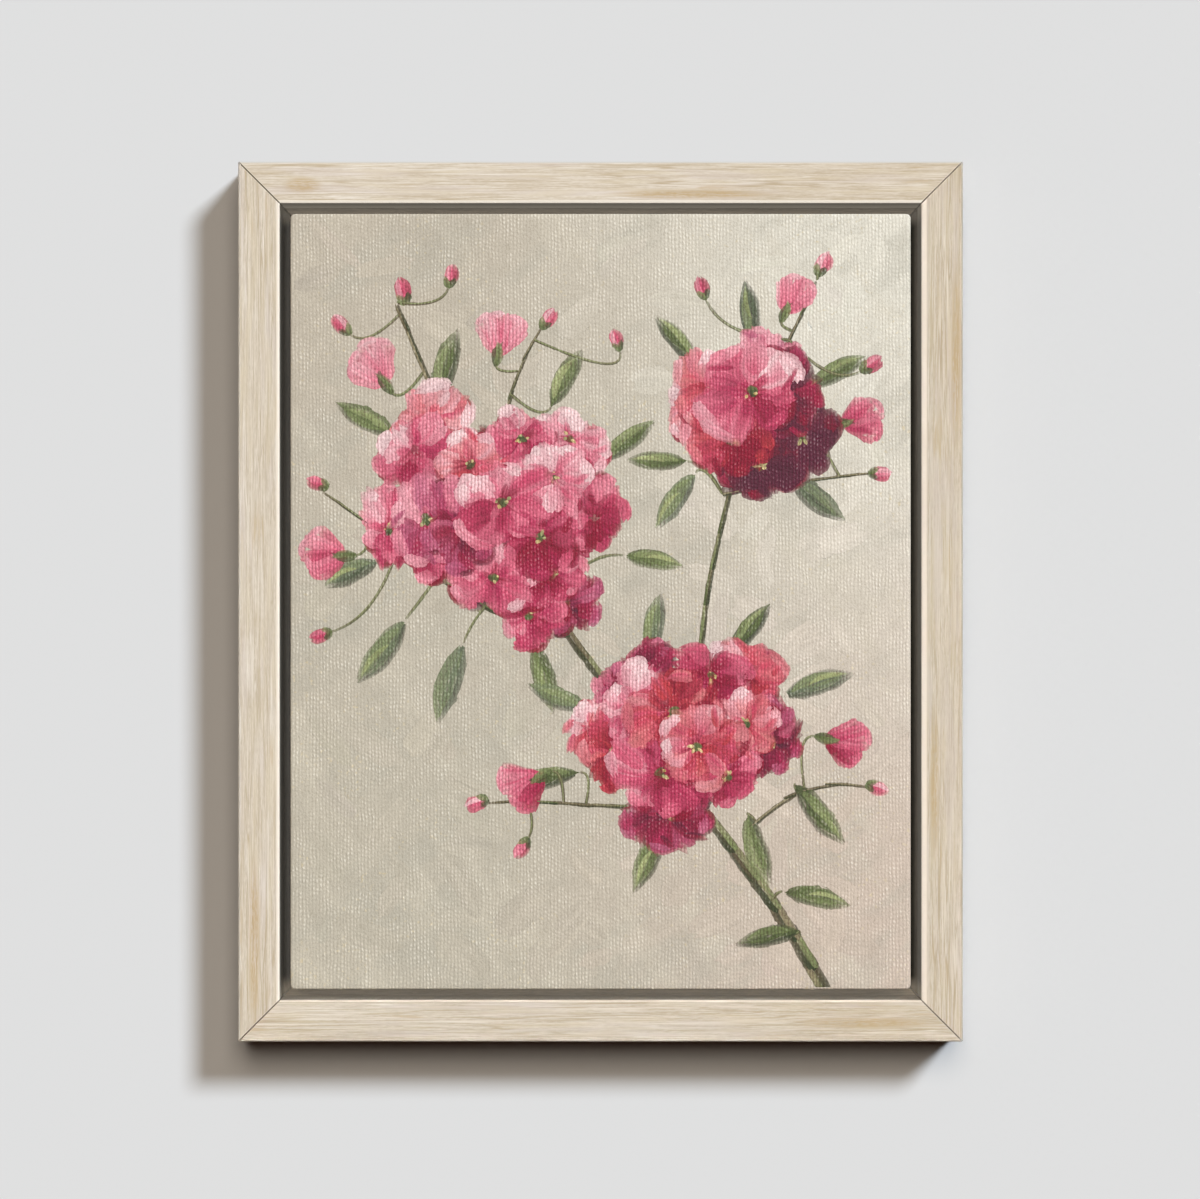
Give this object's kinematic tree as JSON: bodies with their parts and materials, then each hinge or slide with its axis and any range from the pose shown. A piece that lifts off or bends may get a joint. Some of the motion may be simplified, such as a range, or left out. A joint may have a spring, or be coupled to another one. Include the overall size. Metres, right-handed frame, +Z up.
{
  "type": "floater-framed canvas",
  "caption": "Upright rectangular stretched canvas floating in a whitewashed wooden frame, with keyed stretcher bars and a sawtooth hanger behind.",
  "frame": {"origin": "middle of the flat top of the hanger's centre notch, where the wall nail carries the picture", "axes": "+Z up, +X to the right as the picture is seen, the picture faces -Y and +Y points to the wall"},
  "size_m": [0.474, 0.0469, 0.5756],
  "materials": {
    "whitewashed_wood": "whitewashed, matte, the channel painted dark taupe",
    "pine": "bare, planed",
    "painted_canvas": "painted plain weave, matte",
    "plated_steel": "bright zinc plate",
    "zinc_plate": "dull zinc plate",
    "bumper_rubber": "matte"
  },
  "bodies": {
    "root": {"frame_rail_bottom": "whitewashed_wood", "frame_rail_left": "whitewashed_wood", "frame_rail_top": "whitewashed_wood", "frame_rail_right": "whitewashed_wood", "stretcher_bar_bottom": "pine", "stretcher_bar_left": "pine", "stretcher_bar_top": "pine", "stretcher_bar_right": "pine", "corner_key_bottom_1": "pine", "corner_key_bottom_2": "pine", "corner_key_left_1": "pine", "corner_key_left_2": "pine", "corner_key_top_1": "pine", "corner_key_top_2": "pine", "corner_key_right_1": "pine", "corner_key_right_2": "pine", "canvas": "painted_canvas", "screw_bottom_1": "plated_steel", "screw_bottom_2": "plated_steel", "screw_left_1": "plated_steel", "screw_left_2": "plated_steel", "screw_top_1": "plated_steel", "screw_top_2": "plated_steel", "screw_right_1": "plated_steel", "screw_right_2": "plated_steel", "v_nail_bottom_1": "plated_steel", "v_nail_bottom_2": "plated_steel", "v_nail_left_1": "plated_steel", "v_nail_left_2": "plated_steel", "v_nail_top_1": "plated_steel", "v_nail_top_2": "plated_steel", "v_nail_right_1": "plated_steel", "v_nail_right_2": "plated_steel", "staple_bottom_1": "plated_steel", "staple_bottom_2": "plated_steel", "staple_bottom_3": "plated_steel", "staple_bottom_4": "plated_steel", "staple_left_1": "plated_steel", "staple_left_2": "plated_steel", "staple_left_3": "plated_steel", "staple_left_4": "plated_steel", "staple_left_5": "plated_steel", "staple_left_6": "plated_steel", "staple_top_1": "plated_steel", "staple_top_2": "plated_steel", "staple_top_3": "plated_steel", "staple_top_4": "plated_steel", "staple_right_1": "plated_steel", "staple_right_2": "plated_steel", "staple_right_3": "plated_steel", "staple_right_4": "plated_steel", "staple_right_5": "plated_steel", "staple_right_6": "plated_steel", "sawtooth_hanger": "zinc_plate", "hanger_nail_1": "plated_steel", "hanger_nail_2": "plated_steel", "bumper_1": "bumper_rubber", "bumper_2": "bumper_rubber"}
  },
  "joints": []
}
